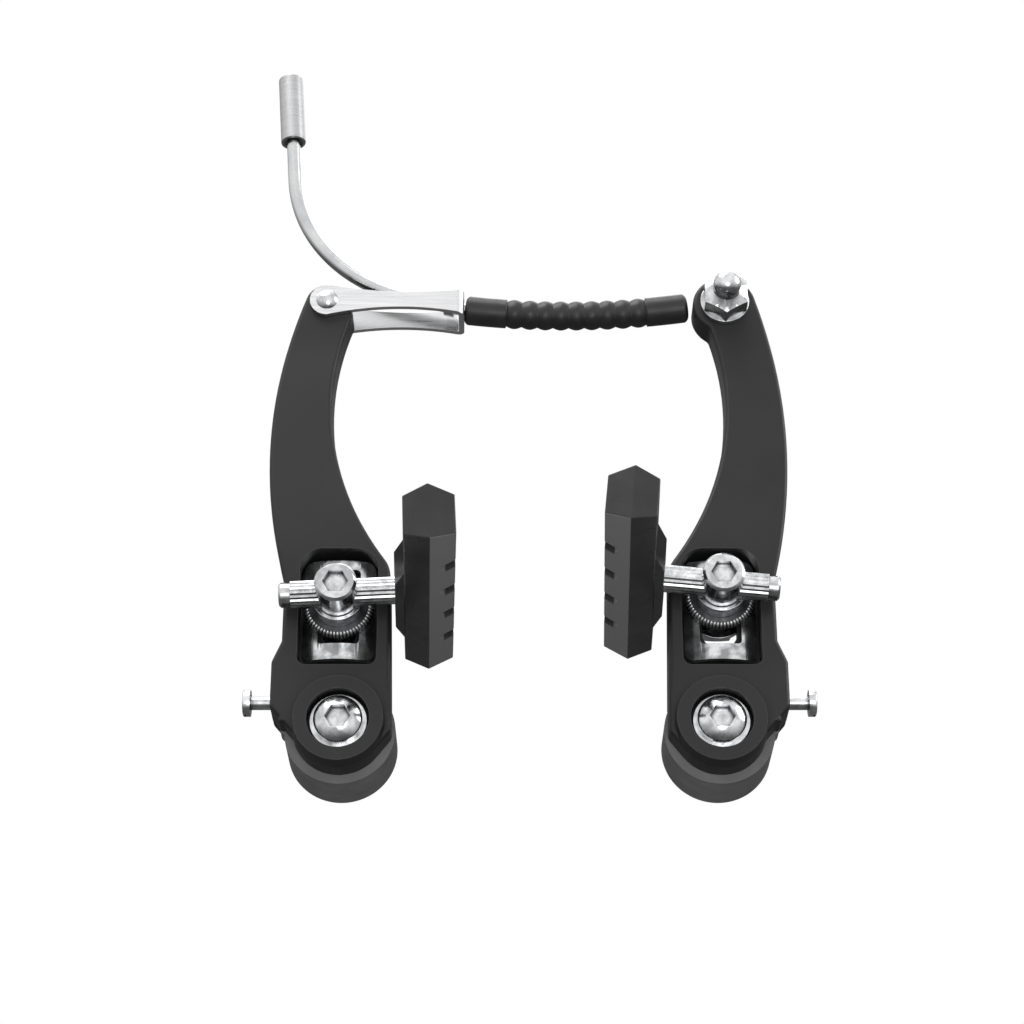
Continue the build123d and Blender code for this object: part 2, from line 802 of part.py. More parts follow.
def cable_boot():
    """A rubber bellows between two plain sleeves, pushed over the noodle's tip."""
    path = boot_path()
    span = path.length

    def stretch(radius, start, end):
        piece = path.trim(start / span, end / span)
        return sweep(Plane(piece @ 0, z_dir=piece % 0) * Circle(radius), path=piece)

    boot = stretch(boot_radius, 0, boot_sleeve) + stretch(boot_radius, span - boot_sleeve, span)
    boot = boot + stretch(boot_core_radius, boot_sleeve, span - boot_sleeve)
    for i in range(boot_ribs):
        along = span / 2 + (i - (boot_ribs - 1) / 2) * boot_rib_pitch
        ring_radius_here = boot_core_radius + boot_rib_height - boot_rib_round
        place = Plane(path.position_at(along / span), z_dir=path.tangent_at(along / span))
        boot += place * Torus(ring_radius_here, boot_rib_round)
    boot -= stretch(boot_bore, boot_grip, span) + stretch(boot_grip_bore, 0, boot_grip)
    return boot - along_tip(tube_radius, -sheet, tip_nose)


# Anchor side


def anchor_washer():
    front = head_front + anchor_washer_thickness
    washer = tube(anchor_washer_radius, thread_radius + thread_clearance, head_front, front)
    return Pos(-anchor_offset, 0, anchor_height) * washer


def acorn_nut():
    """A domed cap nut."""
    back = head_front + anchor_washer_thickness
    hex_front = back + acorn_hex_height
    cap_front = back + acorn_height
    cone_front = hex_front + acorn_cone_height
    hexed = slab(hexagon(acorn_flats, turn=30), back, hex_front)
    flat = acorn_flats / 2
    corner_reach = flat + 2 * nut_chamfer
    hexed &= turned([
        (0, back), (corner_reach, back), (corner_reach, hex_front - nut_chamfer),
        (flat, hex_front), (0, hex_front),
    ])
    cap = turned([(0, hex_front), (flat, hex_front), (acorn_dome_radius, cone_front), (0, cone_front)])
    dome = rod(acorn_dome_radius, cone_front, cap_front)
    dome = fillet(edges_at(dome, cap_front), acorn_dome_radius * 0.9)
    nut = hexed + cap + dome - rod(thread_radius, back, hex_front)
    return Pos(-anchor_offset, 0, anchor_height) * nut


def anchor_bolt():
    """The bolt behind the arm that the acorn nut pulls on."""
    tip = head_front + anchor_washer_thickness + acorn_hex_height
    back = head_back - anchor_head_height
    head = rod(anchor_head_radius, back, head_back)
    head = chamfer(edges_at(head, back), nut_chamfer)
    head -= slab(hexagon(anchor_socket), back, back + anchor_socket_depth)
    return Pos(-anchor_offset, 0, anchor_height) * (head + rod(thread_radius, head_back, tip))


# Placing and saving the pieces


def place_left(piece):
    return Pos(-half_spacing, 0, 0) * piece


def place_right(piece):
    return Pos(half_spacing, 0, 0) * mirror(piece, about=Plane.YZ)


both_sides = [pivot_bush, bolt_washer, pivot_bolt, spring_housing, return_spring, slot_plate, tension_screw]
set_by_height = [eyebolt, post_saddle, toe_in_washer, rear_washer, eyebolt_nut, pad_post, brake_pad]
left_only = [left_arm, holder_rivet, noodle_holder, noodle_tube, noodle_liner, noodle_ferrule, cable_boot]
right_only = [right_arm, anchor_washer, acorn_nut, anchor_bolt]

pieces = {}
for make in both_sides:
    shape = make()
    pieces["left_" + make.__name__] = place_left(shape)
    pieces["right_" + make.__name__] = place_right(shape)
for make in set_by_height:
    pieces["left_" + make.__name__] = place_left(make(left_setting))
    pieces["right_" + make.__name__] = place_right(make(right_setting))
for make in left_only:
    pieces[make.__name__] = place_left(make())
for make in right_only:
    pieces[make.__name__] = place_right(make())

os.makedirs("parts", exist_ok=True)
for name, shape in pieces.items():
    export_step(shape, os.path.join("parts", name + ".step"))
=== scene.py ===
import json
import math

import bmesh
import bpy
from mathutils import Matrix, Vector


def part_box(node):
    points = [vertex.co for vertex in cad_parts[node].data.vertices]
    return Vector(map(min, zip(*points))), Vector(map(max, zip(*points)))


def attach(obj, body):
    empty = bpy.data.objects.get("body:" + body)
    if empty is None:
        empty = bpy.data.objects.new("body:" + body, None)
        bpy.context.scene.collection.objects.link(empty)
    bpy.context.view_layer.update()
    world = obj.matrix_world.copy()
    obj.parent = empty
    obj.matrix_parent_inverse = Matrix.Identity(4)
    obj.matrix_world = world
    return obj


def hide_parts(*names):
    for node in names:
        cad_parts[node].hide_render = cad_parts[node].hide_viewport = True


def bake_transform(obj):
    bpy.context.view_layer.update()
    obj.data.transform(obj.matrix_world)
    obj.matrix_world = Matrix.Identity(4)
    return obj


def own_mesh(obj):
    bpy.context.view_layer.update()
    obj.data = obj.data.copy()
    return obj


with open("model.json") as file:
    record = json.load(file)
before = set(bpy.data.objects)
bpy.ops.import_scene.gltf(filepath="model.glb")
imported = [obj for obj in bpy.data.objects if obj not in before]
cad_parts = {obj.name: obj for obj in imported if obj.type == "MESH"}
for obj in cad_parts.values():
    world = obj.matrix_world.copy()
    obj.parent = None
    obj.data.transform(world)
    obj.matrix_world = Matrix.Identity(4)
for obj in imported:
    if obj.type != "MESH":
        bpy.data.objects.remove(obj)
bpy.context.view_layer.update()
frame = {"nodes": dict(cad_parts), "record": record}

# A linear-pull rim brake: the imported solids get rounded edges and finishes, and the rubber bellows is drawn
# anew along its arc. Lengths are in metres, written as millimetres times MM.

MM = 0.001

# Places and sizes shared with the solids
boot_start = (-15.15 * MM, -12.1 * MM, 108.71 * MM)
boot_middle = (11.72 * MM, -12.1 * MM, 107.16 * MM)
boot_end = (38.1 * MM, -12.1 * MM, 109.4 * MM)
boot_radius = 3.45 * MM
boot_sleeve = 10.0 * MM
boot_ribs = 9
boot_valley = 2.95 * MM
boot_crest = 3.5 * MM
boot_bore = 1.7 * MM
boot_end_round = 0.9 * MM
ferrule_lean = math.radians(4.1)
washer_bevel = 0.9 * MM
knurl_teeth = 60

# Fineness of the drawn forms
boot_steps = 421
boot_sides = 48
boot_dome_power = 0.3
bead_width = 0.6 * MM
bead_height = 0.62 * MM
bead_length = 1.75 * washer_bevel
join_distance = 0.002 * MM
flat_angle = math.radians(0.4)
sharp_angle = math.radians(28)
edge_steps = 3

# Where the finishes change: cosines at edges, open shares in corners for the painted shade, slopes on the
# pads for the painted light
edge_flat, edge_round = 0.995, 0.86
corner_open, corner_closed = 0.95, 0.45
inward_start, inward_full = -0.2, -0.33
end_start, end_full = 0.5, 0.7
wheel_side_roughness = 0.62


# Node trees


def linear(hexcode):
    """An sRGB hex colour as linear red, green, blue and alpha."""
    channels = [int(hexcode[i:i + 2], 16) / 255 for i in (1, 3, 5)]
    return [c / 12.92 if c <= 0.04045 else ((c + 0.055) / 1.055) ** 2.4 for c in channels] + [1.0]


def add(tree, kind, inputs=None, **settings):
    """Adds a node. Its inputs are sockets to link or values to set, by name or by number."""
    node = tree.nodes.new(kind)
    for name, value in settings.items():
        setattr(node, name, value)
    for key, value in (inputs or {}).items():
        if isinstance(value, bpy.types.NodeSocket):
            tree.links.new(value, node.inputs[key])
        else:
            node.inputs[key].default_value = value
    return node


def pattern(tree, size, detail=3.0, turn=(0, 0, 0)):
    """Cloudy grain of a real size: millimetres as one number, or along X, Y and Z after a turn."""
    sizes = size if isinstance(size, tuple) else (size, size, size)
    place = add(tree, "ShaderNodeTexCoord").outputs["Object"]
    turned = add(tree, "ShaderNodeMapping", {"Vector": place, "Rotation": turn})
    scaled = add(tree, "ShaderNodeMapping", {
        "Vector": turned.outputs[0], "Scale": [1 / (s * MM) for s in sizes],
    })
    return add(tree, "ShaderNodeTexNoise", {
        "Vector": scaled.outputs[0], "Scale": 1.0, "Detail": detail,
    }).outputs["Fac"]


def finish(name, tones, tone_grain, roughness, rough_grain, relief, relief_grain,
           contrast=0.2, worn=None, worn_width=0.5, painted_corner_shade=None, painted_shade_width=1.2, wheel_side_painted_light=None,
           turn=(0, 0, 0), **constants):
    """A material whose tone, roughness and relief each follow a grain of a real size in millimetres.

    Tones are two hex colours. A worn colour shows where the surface turns sharply within the worn width, and
    painted corner shade darkens narrow corners where shade falls. Painted light makes the faces towards the
    wheel paler, as if lit from the middle below, the ends left out.
    Constants are set on the shader's own sockets.
    """
    material = bpy.data.materials.new(name)
    material.use_nodes = True
    tree = material.node_tree
    tree.nodes.clear()
    cloud = add(tree, "ShaderNodeMapRange", {
        "Value": pattern(tree, tone_grain, 4.0, turn), "From Min": 0.5 - contrast, "From Max": 0.5 + contrast,
    })
    colour = add(tree, "ShaderNodeMix", {
        0: cloud.outputs[0], 6: linear(tones[0]), 7: linear(tones[1]),
    }, data_type="RGBA")
    # Painted light: faces towards the wheel, the ends left out, are made paler as if lit from the middle
    # below
    if wheel_side_painted_light:
        place = add(tree, "ShaderNodeTexCoord")
        spot = add(tree, "ShaderNodeSeparateXYZ", {0: place.outputs["Object"]})
        slope = add(tree, "ShaderNodeSeparateXYZ", {0: place.outputs["Normal"]})
        side = add(tree, "ShaderNodeMath", {0: spot.outputs["X"]}, operation="SIGN")
        inward = add(tree, "ShaderNodeMath", {
            0: slope.outputs["X"], 1: side.outputs[0],
        }, operation="MULTIPLY")
        level = add(tree, "ShaderNodeMath", {0: slope.outputs["Y"]}, operation="ABSOLUTE")
        ends = add(tree, "ShaderNodeMapRange", {
            "Value": level.outputs[0], "From Min": end_start, "From Max": end_full,
            "To Min": 1.0, "To Max": 0.0,
        })
        painted_light_faces = add(tree, "ShaderNodeMapRange", {
            "Value": inward.outputs[0], "From Min": inward_start, "From Max": inward_full,
            "To Max": ends.outputs[0],
        })
        colour = add(tree, "ShaderNodeMix", {
            0: painted_light_faces.outputs[0], 6: colour.outputs[2], 7: linear(wheel_side_painted_light),
        }, data_type="RGBA")
    if worn:
        soft = add(tree, "ShaderNodeBevel", {"Radius": worn_width * MM}, samples=6)
        flat = add(tree, "ShaderNodeNewGeometry")
        bend = add(tree, "ShaderNodeVectorMath", {
            0: soft.outputs[0], 1: flat.outputs["Normal"],
        }, operation="DOT_PRODUCT")
        rubbed = add(tree, "ShaderNodeMapRange", {
            "Value": bend.outputs["Value"], "From Min": edge_flat, "From Max": edge_round,
        })
        colour = add(tree, "ShaderNodeMix", {
            0: rubbed.outputs[0], 6: colour.outputs[2], 7: linear(worn),
        }, data_type="RGBA")
    # Painted shade: narrow corners, found by ambient occlusion, are darkened where shade would fall
    if painted_corner_shade:
        corner = add(tree, "ShaderNodeAmbientOcclusion", {
            "Distance": painted_shade_width * MM,
        }, samples=8, only_local=True)
        hidden = add(tree, "ShaderNodeMapRange", {
            "Value": corner.outputs["AO"], "From Min": corner_open, "From Max": corner_closed,
        })
        colour = add(tree, "ShaderNodeMix", {
            0: hidden.outputs[0], 6: colour.outputs[2], 7: linear(painted_corner_shade),
        }, data_type="RGBA")
    sheen = add(tree, "ShaderNodeMapRange", {
        "Value": pattern(tree, rough_grain, 3.0, turn), "From Min": 0.3, "From Max": 0.7,
        "To Min": roughness[0], "To Max": roughness[1],
    })
    if wheel_side_painted_light:
        dull = add(tree, "ShaderNodeMath", {
            0: painted_light_faces.outputs[0], 1: wheel_side_roughness,
        }, operation="MULTIPLY")
        sheen = add(tree, "ShaderNodeMath", {
            0: sheen.outputs[0], 1: dull.outputs[0],
        }, operation="MAXIMUM")
    raised = add(tree, "ShaderNodeBump", {
        "Height": pattern(tree, relief_grain, 3.0, turn), "Distance": relief * MM, "Strength": 1.0,
    })
    shader = add(tree, "ShaderNodeBsdfPrincipled", {
        "Base Color": colour.outputs[2], "Roughness": sheen.outputs[0], "Normal": raised.outputs[0],
    } | {key.replace("_", " "): value for key, value in constants.items()})
    add(tree, "ShaderNodeOutputMaterial", {"Surface": shader.outputs[0]})
    return material


# Finishes, by the record's material slots
finishes = {
    # Satin paint on forged aluminium: black with a fine orange peel, paler at edges, with painted shade
    # darkening its corners
    "arm_paint": finish(
        "satin_black_paint", ("#131314", "#19191A"), 14.0, (0.38, 0.48), 5.0, 0.006, 0.5,
        worn="#2C2C2E", painted_corner_shade="#060606", painted_shade_width=3.0, Specular_IOR_Level=0.4,
    ),
    # Moulded glass-filled nylon: dull dark grey with a faint flow mottle
    "housing_plastic": finish(
        "moulded_nylon", ("#4C4C4D", "#575758"), (6.0, 3.0, 6.0), (0.46, 0.6), 2.0, 0.008, 0.3,
        Specular_IOR_Level=0.45,
    ),
    # Clear-passivated zinc on turned steel: bright, cloudy in patches, with fine handling marks and painted
    # shade in its corners and sockets
    "bright_steel": finish(
        "bright_zinc", ("#B8BABC", "#EAEBEC"), 2.6, (0.1, 0.28), 1.1, 0.01, 0.8,
        contrast=0.12, painted_corner_shade="#4A4A4C", Metallic=1.0,
    ),
    # Pressed steel strip: bright satin, with rolling marks along its length
    "sheet_steel": finish(
        "pressed_sheet", ("#D8D9DA", "#E8E8E9"), (14.0, 0.25, 0.25), (0.24, 0.36), (14.0, 0.25, 0.25),
        0.002, (14.0, 0.25, 0.25), Metallic=1.0,
    ),
    # Oiled spring wire: dark and drawn
    "spring_steel": finish(
        "spring_wire", ("#6A6B6D", "#8B8C8E"), 1.5, (0.25, 0.4), 0.5, 0.002, 0.5, Metallic=1.0,
    ),
    # Turned steel: grey, with tool rings along the bore
    "bush_steel": finish(
        "turned_steel", ("#8E8F91", "#B2B3B4"), (6.0, 0.25, 6.0), (0.28, 0.42), (6.0, 0.25, 6.0),
        0.002, (6.0, 0.25, 6.0), Metallic=1.0,
    ),
    # Bent stainless tube: polished, with faint marks from the bending rolls
    "noodle_steel": finish(
        "polished_tube", ("#C4C5C7", "#D8D9D9"), 6.0, (0.16, 0.26), 1.0, 0.003, 0.6, Metallic=1.0,
    ),
    # Turned aluminium: satin, with tool rings round the ferrule, drawn coarse enough to show
    "ferrule_alloy": finish(
        "turned_alloy", ("#AEAFB0", "#C4C4C5"), (8.0, 8.0, 0.3), (0.3, 0.42), (8.0, 8.0, 0.3),
        0.004, (8.0, 8.0, 0.3), turn=(0, ferrule_lean, 0), Metallic=1.0,
    ),
    # Drawn low-friction plastic: milky and smooth
    "liner_plastic": finish(
        "slick_liner", ("#D8D7D2", "#E6E5E1"), 3.0, (0.35, 0.5), 1.0, 0.002, 1.0, IOR=1.36,
    ),
    # Moulded brake compound: near black, with a fine mould grain and paler edges; the faces towards the wheel
    # get painted light, paler as if lit from the middle below, and are rougher
    "pad_rubber": finish(
        "moulded_compound", ("#252526", "#2D2D2E"), 8.0, (0.26, 0.4), 3.0, 0.01, 0.35,
        worn="#3C3C3D", worn_width=0.4, wheel_side_painted_light="#5A5A5B", Specular_IOR_Level=0.3,
    ),
    # Dipped rubber: black, with a soft gloss
    "boot_rubber": finish(
        "dipped_rubber", ("#161617", "#1E1E1F"), 5.0, (0.32, 0.44), 2.0, 0.006, 0.4,
    ),
}
# Bare drawn steel: mirror-like, with streaks up the crown and dull patches
plate_finish = finish(
    "drawn_plate", ("#9A9C9E", "#E6E7E8"), 3.0, (0.1, 0.26), (0.6, 0.6, 9.0), 0.012, (0.6, 0.6, 9.0),
    contrast=0.1, Metallic=1.0,
)
# Painted shade: the toe-in washer is coloured dull dark grey all over, for the shade on its face behind the
# eyebolt and saddle
shaded_washer_finish = finish(
    "washer_painted_shade", ("#4C4D4F", "#626365"), 1.2, (0.3, 0.44), 0.8, 0.006, 0.5, Metallic=1.0,
)
# Painted highlight: the knurl's beads are coloured near white, for the glint of the light from the front
# below
bead_painted_highlight = finish(
    "knurl_painted_highlight", ("#E6E7E8", "#F4F4F4"), 0.8, (0.3, 0.4), 0.8, 0.004, 0.4, Metallic=1.0,
)

slots = {row["node"]: row["material_slot"] for row in frame["record"]["subparts"]}
bodies = {node: body for body, nodes in frame["record"]["behaviour"]["bodies"].items() for node in nodes}


def finish_of(node):
    """The finish of a node's slot, or its own where the piece differs from the rest of the slot."""
    own = {"slot_plate": plate_finish, "toe_in_washer": shaded_washer_finish}
    return own.get(node.split("_", 1)[1], finishes[slots[node]])


# Pieces


def show(piece):
    bpy.context.scene.collection.objects.link(piece)
    return piece


def place_piece(piece, node):
    """Puts a finished mesh on its node's body, in the node's place."""
    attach(piece, bodies[node])
    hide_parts(node)
    return piece


def flattened(piece, name):
    """The piece with its modifiers turned into plain mesh."""
    graph = bpy.context.evaluated_depsgraph_get()
    mesh = bpy.data.meshes.new_from_object(piece.evaluated_get(graph))
    bpy.data.objects.remove(piece)
    return show(bpy.data.objects.new(name, mesh))


def merged(node, name):
    """A smooth copy of a solid with its corners joined and its flat faces whole."""
    mesh = bpy.data.meshes.new(name)
    work = bmesh.new()
    work.from_mesh(frame["nodes"][node].data)
    bmesh.ops.remove_doubles(work, verts=work.verts, dist=join_distance)
    bmesh.ops.dissolve_limit(work, angle_limit=flat_angle, verts=work.verts, edges=work.edges)
    for face in work.faces:
        face.smooth = True
    work.to_mesh(mesh)
    work.free()
    mesh.materials.clear()
    mesh.materials.append(finish_of(node))
    return show(bpy.data.objects.new(name, mesh))


def eased(node, width):
    """A copy of a solid whose sharp edges are rounded by a width in millimetres."""
    piece = merged(node, node + "_work")
    ease = piece.modifiers.new("ease", "BEVEL")
    ease.width = width * MM
    ease.segments = edge_steps
    ease.limit_method = "ANGLE"
    ease.angle_limit = sharp_angle
    ease.harden_normals = True
    weigh = piece.modifiers.new("weigh", "WEIGHTED_NORMAL")
    weigh.keep_sharp = True
    return place_piece(flattened(piece, node + "_piece"), node)


def winding_spring(node):
    """A return spring as a smooth copy of its solid, left fixed where it rests."""
    piece = merged(node, node + "_piece")
    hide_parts(node)
    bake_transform(piece)


def bellows_tree():
    """Geometry Nodes for the boot: two plain sleeves with domed ends and a ribbed stretch between them."""
    tree = bpy.data.node_groups.new("bellows", "GeometryNodeTree")
    tree.interface.new_socket("Geometry", in_out="OUTPUT", socket_type="NodeSocketGeometry")
    kinds = {
        "Start": "Vector", "Middle": "Vector", "End": "Vector", "Radius": "Float", "Bore": "Float",
        "End Round": "Float", "Sleeve": "Float", "Ribs": "Float", "Valley": "Float", "Crest": "Float",
        "Material": "Material",
    }
    for name, kind in kinds.items():
        tree.interface.new_socket(name, in_out="INPUT", socket_type="NodeSocket" + kind)
    given = add(tree, "NodeGroupInput").outputs

    arc = add(tree, "GeometryNodeCurveArc", {
        "Start": given["Start"], "Middle": given["Middle"], "End": given["End"], "Resolution": 64,
    }, mode="POINTS")
    path = add(tree, "GeometryNodeResampleCurve", {"Curve": arc.outputs[0], "Count": boot_steps})
    along = add(tree, "GeometryNodeSplineParameter").outputs["Length"]
    span = add(tree, "GeometryNodeSplineLength").outputs["Length"]

    # Radius of a sleeve: it rises in a dome from the bore at each end
    half = add(tree, "ShaderNodeMath", {0: span, 1: 0.5}, operation="MULTIPLY")
    to_end = add(tree, "ShaderNodeMath", {0: along, 1: half.outputs[0]}, operation="PINGPONG")
    rise = add(tree, "ShaderNodeMapRange", {"Value": to_end.outputs[0], "From Max": given["End Round"]})
    dome = add(tree, "ShaderNodeMath", {0: rise.outputs[0], 1: boot_dome_power}, operation="POWER")
    plain = add(tree, "ShaderNodeMapRange", {
        "Value": dome.outputs[0], "To Min": given["Bore"], "To Max": given["Radius"],
    })

    # Radius of the ribs: half waves between the valley and the crest
    last = add(tree, "ShaderNodeMath", {0: span, 1: given["Sleeve"]}, operation="SUBTRACT")
    turns = add(tree, "ShaderNodeMath", {0: given["Ribs"], 1: math.pi}, operation="MULTIPLY")
    phase = add(tree, "ShaderNodeMapRange", {
        "Value": along, "From Min": given["Sleeve"], "From Max": last.outputs[0], "To Max": turns.outputs[0],
    })
    wave = add(tree, "ShaderNodeMath", {0: phase.outputs[0]}, operation="SINE")
    bulge = add(tree, "ShaderNodeMath", {0: wave.outputs[0]}, operation="ABSOLUTE")
    ribbed = add(tree, "ShaderNodeMapRange", {
        "Value": bulge.outputs[0], "To Min": given["Valley"], "To Max": given["Crest"],
    })
    inner = add(tree, "ShaderNodeMath", {
        0: to_end.outputs[0], 1: given["Sleeve"],
    }, operation="GREATER_THAN")
    radius = add(tree, "ShaderNodeMix", {0: inner.outputs[0], 2: plain.outputs[0], 3: ribbed.outputs[0]})

    ring = add(tree, "GeometryNodeCurvePrimitiveCircle", {"Resolution": boot_sides, "Radius": 1.0}).outputs[0]
    outside = add(tree, "GeometryNodeCurveToMesh", {
        "Curve": path.outputs[0], "Profile Curve": ring, "Scale": radius.outputs[0],
    })
    inside = add(tree, "GeometryNodeCurveToMesh", {
        "Curve": path.outputs[0], "Profile Curve": ring, "Scale": given["Bore"],
    })
    inside = add(tree, "GeometryNodeFlipFaces", {"Mesh": inside.outputs[0]})
    both = add(tree, "GeometryNodeJoinGeometry", {"Geometry": outside.outputs[0]})
    tree.links.new(inside.outputs[0], both.inputs[0])
    sewn = add(tree, "GeometryNodeMergeByDistance", {
        "Geometry": both.outputs[0], "Distance": 0.005 * MM,
    })
    smooth = add(tree, "GeometryNodeSetShadeSmooth", {"Geometry": sewn.outputs[0]})
    real = add(tree, "GeometryNodeRealizeInstances", {"Geometry": smooth.outputs[0]})
    dressed = add(tree, "GeometryNodeSetMaterial", {
        "Geometry": real.outputs[0], "Material": given["Material"],
    })
    add(tree, "NodeGroupOutput", {"Geometry": dressed.outputs[0]})
    return tree


def bellows_boot():
    """The rubber boot between the noodle's holder and the anchor boss."""
    piece = show(bpy.data.objects.new("cable_boot_work", bpy.data.meshes.new("cable_boot")))
    modifier = piece.modifiers.new("bellows", "NODES")
    modifier.node_group = bellows_tree()
    values = {
        "Start": boot_start, "Middle": boot_middle, "End": boot_end, "Radius": boot_radius, "Bore": boot_bore,
        "End Round": boot_end_round, "Sleeve": boot_sleeve, "Ribs": float(boot_ribs), "Valley": boot_valley,
        "Crest": boot_crest, "Material": finishes["boot_rubber"],
    }
    for item in modifier.node_group.interface.items_tree:
        if item.in_out == "INPUT":
            modifier[item.identifier] = values[item.name]
    return place_piece(flattened(piece, "cable_boot_piece"), "cable_boot")


def beaded_tree():
    """Geometry Nodes for the knurled bevel of a toe-in washer: long beads in a ring."""
    tree = bpy.data.node_groups.new("beaded_bevel", "GeometryNodeTree")
    tree.interface.new_socket("Geometry", in_out="OUTPUT", socket_type="NodeSocketGeometry")
    kinds = {
        "Centre": "Vector", "Radius": "Float", "Teeth": "Int", "Bead Size": "Vector", "Slope": "Vector",
        "Material": "Material",
    }
    for name, kind in kinds.items():
        tree.interface.new_socket(name, in_out="INPUT", socket_type="NodeSocket" + kind)
    given = add(tree, "NodeGroupInput").outputs
    ball = add(tree, "GeometryNodeMeshUVSphere", {"Segments": 12, "Rings": 8, "Radius": 0.5})
    bead = add(tree, "GeometryNodeTransform", {
        "Geometry": ball.outputs[0], "Scale": given["Bead Size"], "Rotation": given["Slope"],
    })
    ring = add(tree, "GeometryNodeMeshCircle", {"Vertices": given["Teeth"], "Radius": given["Radius"]})
    step = add(tree, "ShaderNodeMath", {0: 2 * math.pi, 1: given["Teeth"]}, operation="DIVIDE")
    index = add(tree, "GeometryNodeInputIndex")
    turn = add(tree, "ShaderNodeMath", {0: index.outputs[0], 1: step.outputs[0]}, operation="MULTIPLY")
    facing = add(tree, "ShaderNodeCombineXYZ", {"Z": turn.outputs[0]})
    beads = add(tree, "GeometryNodeInstanceOnPoints", {
        "Points": ring.outputs[0], "Instance": bead.outputs[0], "Rotation": facing.outputs[0],
    })
    real = add(tree, "GeometryNodeRealizeInstances", {"Geometry": beads.outputs[0]})
    upright = add(tree, "GeometryNodeTransform", {
        "Geometry": real.outputs[0], "Translation": given["Centre"], "Rotation": (math.pi / 2, 0, 0),
    })
    smooth = add(tree, "GeometryNodeSetShadeSmooth", {"Geometry": upright.outputs[0]})
    dressed = add(tree, "GeometryNodeSetMaterial", {
        "Geometry": smooth.outputs[0], "Material": given["Material"],
    })
    add(tree, "NodeGroupOutput", {"Geometry": dressed.outputs[0]})
    return tree


def beaded_bevel(tree, node):
    """The knurl on the bevel of a toe-in washer, drawn as beads that stand out a little."""
    low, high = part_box(node)
    piece = show(bpy.data.objects.new(node + "_work", bpy.data.meshes.new(node + "_beads")))
    modifier = piece.modifiers.new("beads", "NODES")
    modifier.node_group = tree
    values = {
        "Centre": ((low[0] + high[0]) / 2, low[1] + washer_bevel / 2, (low[2] + high[2]) / 2),
        "Radius": (high[0] - low[0] - washer_bevel) / 2, "Teeth": knurl_teeth,
        "Bead Size": (bead_width, bead_height, bead_length), "Slope": (0.0, -math.pi / 4, 0.0),
        # The beads carry the painted highlight colour
        "Material": bead_painted_highlight,
    }
    for item in tree.interface.items_tree:
        if item.in_out == "INPUT":
            modifier[item.identifier] = values[item.name]
    beads = flattened(piece, node + "_beads")
    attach(beads, bodies[node])


# Width of the rounded edges, in millimetres, by the end of the node's name
edge_widths = {
    "arm": 0.3, "spring_housing": 0.3, "slot_plate": 0.25, "brake_pad": 0.25, "pad_post": 0.05,
    "pivot_bolt": 0.25, "bolt_washer": 0.2, "eyebolt": 0.25, "post_saddle": 0.2, "toe_in_washer": 0.06,
    "rear_washer": 0.2, "eyebolt_nut": 0.25, "tension_screw": 0.15, "noodle_holder": 0.4, "holder_rivet": 0.1,
    "noodle_tube": 0.1, "noodle_ferrule": 0.25, "anchor_washer": 0.2, "acorn_nut": 0.25, "anchor_bolt": 0.2,
}
for node, solid in frame["nodes"].items():
    solid.data.materials.clear()
    solid.data.materials.append(finish_of(node))
    for ending, width in edge_widths.items():
        if node == ending or node in ("left_" + ending, "right_" + ending):
            eased(node, width)

winding_spring("left_return_spring")
winding_spring("right_return_spring")
beads = beaded_tree()
for node in ("left_toe_in_washer", "right_toe_in_washer"):
    beaded_bevel(beads, node)
boot = bellows_boot()
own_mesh(boot)


# Studio

floor_side = 3.0
floor_level = -260 * MM
fade_start, fade_end = 0.5, 2.6
bright_side = (0.0, -0.6, 0.8)
middle = (0.0, -0.015, 0.08)


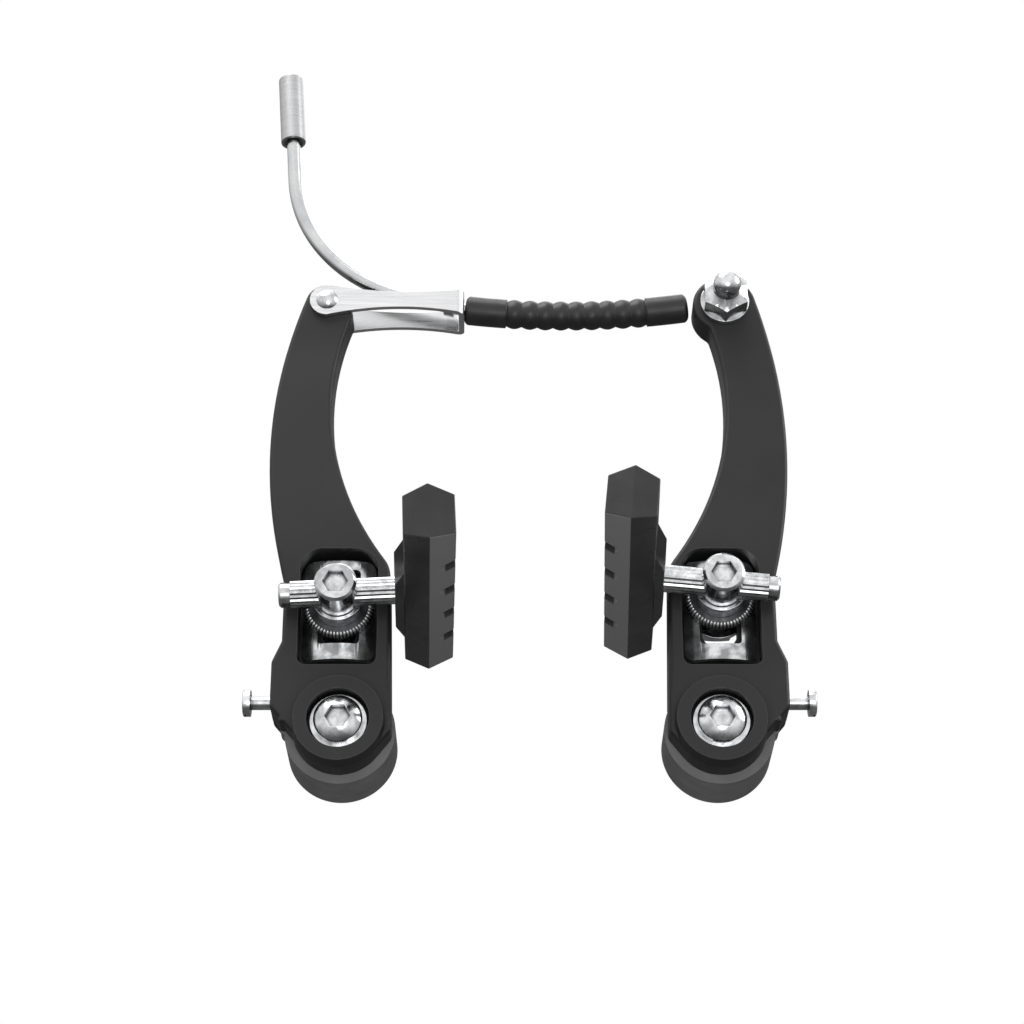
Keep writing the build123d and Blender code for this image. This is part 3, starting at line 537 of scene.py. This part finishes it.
def studio():
    """A pale floor well below the brake, which fades out, and a surround whose mirror image is dark below."""
    mesh = bpy.data.meshes.new("floor")
    corners = [(x * floor_side, y * floor_side, floor_level) for x, y in ((-1, -1), (1, -1), (1, 1), (-1, 1))]
    mesh.from_pydata(corners, [], [(0, 1, 2, 3)])
    floor = show(bpy.data.objects.new("floor", mesh))
    floor.visible_glossy = False
    floor.visible_diffuse = False
    material = bpy.data.materials.new("pale_floor")
    material.use_nodes = True
    tree = material.node_tree
    tree.nodes.clear()
    paint = add(tree, "ShaderNodeBsdfPrincipled", {
        "Base Color": linear("#F1F1F0"), "Roughness": 0.9, "Emission Color": linear("#F1F1F0"),
        "Emission Strength": 0.4,
    })
    clear = add(tree, "ShaderNodeBsdfTransparent")
    side_seen = add(tree, "ShaderNodeNewGeometry")
    place = add(tree, "ShaderNodeTexCoord").outputs["Object"]
    away = add(tree, "ShaderNodeVectorMath", {0: place}, operation="LENGTH")
    fade = add(tree, "ShaderNodeMapRange", {
        "Value": away.outputs["Value"], "From Min": fade_start, "From Max": fade_end,
    }, interpolation_type="SMOOTHSTEP")
    gone = add(tree, "ShaderNodeMath", {
        0: side_seen.outputs["Backfacing"], 1: fade.outputs[0],
    }, operation="MAXIMUM")
    shown = add(tree, "ShaderNodeMixShader", {0: gone.outputs[0], 1: paint.outputs[0], 2: clear.outputs[0]})
    add(tree, "ShaderNodeOutputMaterial", {"Surface": shown.outputs[0]})
    mesh.materials.append(material)

    world = bpy.data.worlds.new("white_surround")
    bpy.context.scene.world = world
    world.use_nodes = True
    tree = world.node_tree
    tree.nodes.clear()
    towards = add(tree, "ShaderNodeTexCoord").outputs["Generated"]
    facing = add(tree, "ShaderNodeVectorMath", {0: towards, 1: bright_side}, operation="DOT_PRODUCT")
    shade = add(tree, "ShaderNodeMapRange", {
        "Value": facing.outputs["Value"], "From Min": -0.3, "From Max": 0.4, "To Min": 0.12, "To Max": 1.0,
    }).outputs[0]
    path = add(tree, "ShaderNodeLightPath").outputs
    seen = add(tree, "ShaderNodeBackground", {"Color": (1, 1, 1, 1), "Strength": 1.0})
    mirrored = add(tree, "ShaderNodeBackground", {"Color": (1, 1, 1, 1), "Strength": shade})
    dim = add(tree, "ShaderNodeBackground", {"Color": (1, 1, 1, 1), "Strength": 0.4})
    both = add(tree, "ShaderNodeMixShader", {
        0: path["Is Glossy Ray"], 1: dim.outputs[0], 2: mirrored.outputs[0],
    })
    full = add(tree, "ShaderNodeMixShader", {
        0: path["Is Camera Ray"], 1: both.outputs[0], 2: seen.outputs[0],
    })
    add(tree, "ShaderNodeOutputWorld", {"Surface": full.outputs[0]})


def lamp(name, place, aim, size, power, mirrored=True):
    """A round soft lamp, sizes in metres and power in watts, which metals may be kept from mirroring."""
    light = bpy.data.lights.new(name, "AREA")
    light.shape = "DISK"
    light.size = size
    light.energy = power
    piece = show(bpy.data.objects.new(name, light))
    piece.visible_glossy = mirrored
    piece.location = place
    piece.rotation_euler = (Vector(aim) - Vector(place)).to_track_quat("-Z", "Y").to_euler()


studio()
lamp("key_lamp", (-0.25, -0.3, 0.95), middle, 0.8, 5.0)
lamp("left_lamp", (-0.8, -0.15, 0.45), middle, 0.6, 2.5, mirrored=False)
lamp("right_lamp", (0.8, -0.15, 0.45), middle, 0.6, 2.5)
lamp("back_lamp", (0.2, 0.5, 0.95), middle, 0.8, 2.0)
lamp("front_lamp", (0.06, -0.62, -0.16), middle, 0.35, 0.6)
lamp("low_lamp", (0.0, -0.4, -0.235), middle, 0.4, 3.2, mirrored=False)

# Camera at the photo's place: below the brake and in front of it, looking up
camera_tilt = 26.4
focal_pixels = 2565
picture_pixels = 1024
camera = show(bpy.data.objects.new("camera", bpy.data.cameras.new("camera")))
camera.location = (-3.93 * MM, -542.6 * MM, -208.71 * MM)
camera.rotation_euler = (math.radians(90 + camera_tilt), 0, 0)
camera.data.sensor_width = 36.0
camera.data.lens = camera.data.sensor_width * focal_pixels / picture_pixels
camera.data.clip_start = 0.01
bpy.context.scene.camera = camera
bpy.context.scene.view_settings.view_transform = "Standard"
